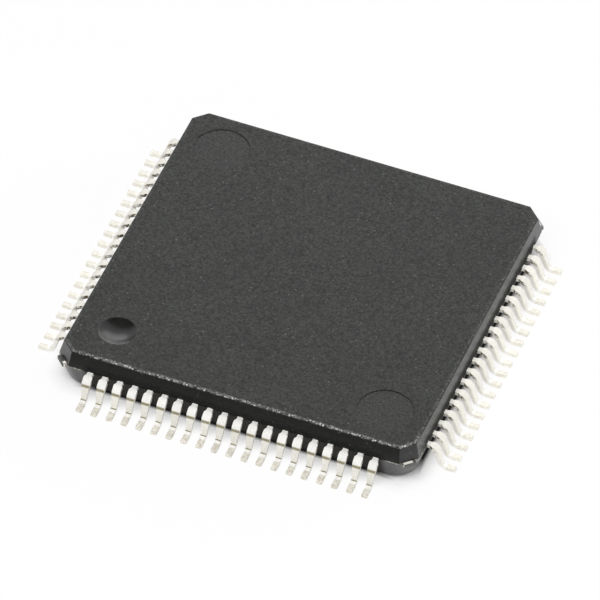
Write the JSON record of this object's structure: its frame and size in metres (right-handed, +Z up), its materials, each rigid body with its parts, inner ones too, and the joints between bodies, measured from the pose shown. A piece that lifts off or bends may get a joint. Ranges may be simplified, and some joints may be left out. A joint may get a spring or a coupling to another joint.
{
  "type": "quad flat pack chip",
  "caption": "Square low-profile quad flat pack chip: moulded body with a corner index dimple and gull-wing leads along every side, for surface soldering.",
  "frame": {"origin": "middle of the seating plane, which the flat soles of the leads touch", "axes": "+Z up out of the top face; the index dimple is in the -X -Y corner of the top face, lead 1 is next to it on the -Y side and the leads count on towards +X, against the clock seen from above"},
  "size_m": [0.014, 0.014, 0.0014],
  "materials": {
    "mould_compound": "fine matte, spark-eroded mould texture",
    "lead_plating": "matte tin plating, warm white",
    "lead_frame_copper": "bare copper alloy, tin at the cut ends",
    "die_adhesive": "silver-filled epoxy",
    "silicon": "polished dark grey",
    "bond_wire_gold": "bright gold"
  },
  "bodies": {
    "root": {"package_body": "mould_compound", "die_paddle": "lead_frame_copper", "die_attach": "die_adhesive", "silicon_die": "silicon", "leads_01_05": "lead_plating", "leads_06_10": "lead_plating", "leads_11_15": "lead_plating", "leads_16_20": "lead_plating", "leads_21_25": "lead_plating", "leads_26_30": "lead_plating", "leads_31_35": "lead_plating", "leads_36_40": "lead_plating", "leads_41_45": "lead_plating", "leads_46_50": "lead_plating", "leads_51_55": "lead_plating", "leads_56_60": "lead_plating", "leads_61_65": "lead_plating", "leads_66_70": "lead_plating", "leads_71_75": "lead_plating", "leads_76_80": "lead_plating", "bond_wires_01_05": "bond_wire_gold", "bond_wires_06_10": "bond_wire_gold", "bond_wires_11_15": "bond_wire_gold", "bond_wires_16_20": "bond_wire_gold", "bond_wires_21_25": "bond_wire_gold", "bond_wires_26_30": "bond_wire_gold", "bond_wires_31_35": "bond_wire_gold", "bond_wires_36_40": "bond_wire_gold", "bond_wires_41_45": "bond_wire_gold", "bond_wires_46_50": "bond_wire_gold", "bond_wires_51_55": "bond_wire_gold", "bond_wires_56_60": "bond_wire_gold", "bond_wires_61_65": "bond_wire_gold", "bond_wires_66_70": "bond_wire_gold", "bond_wires_71_75": "bond_wire_gold", "bond_wires_76_80": "bond_wire_gold"}
  },
  "joints": []
}
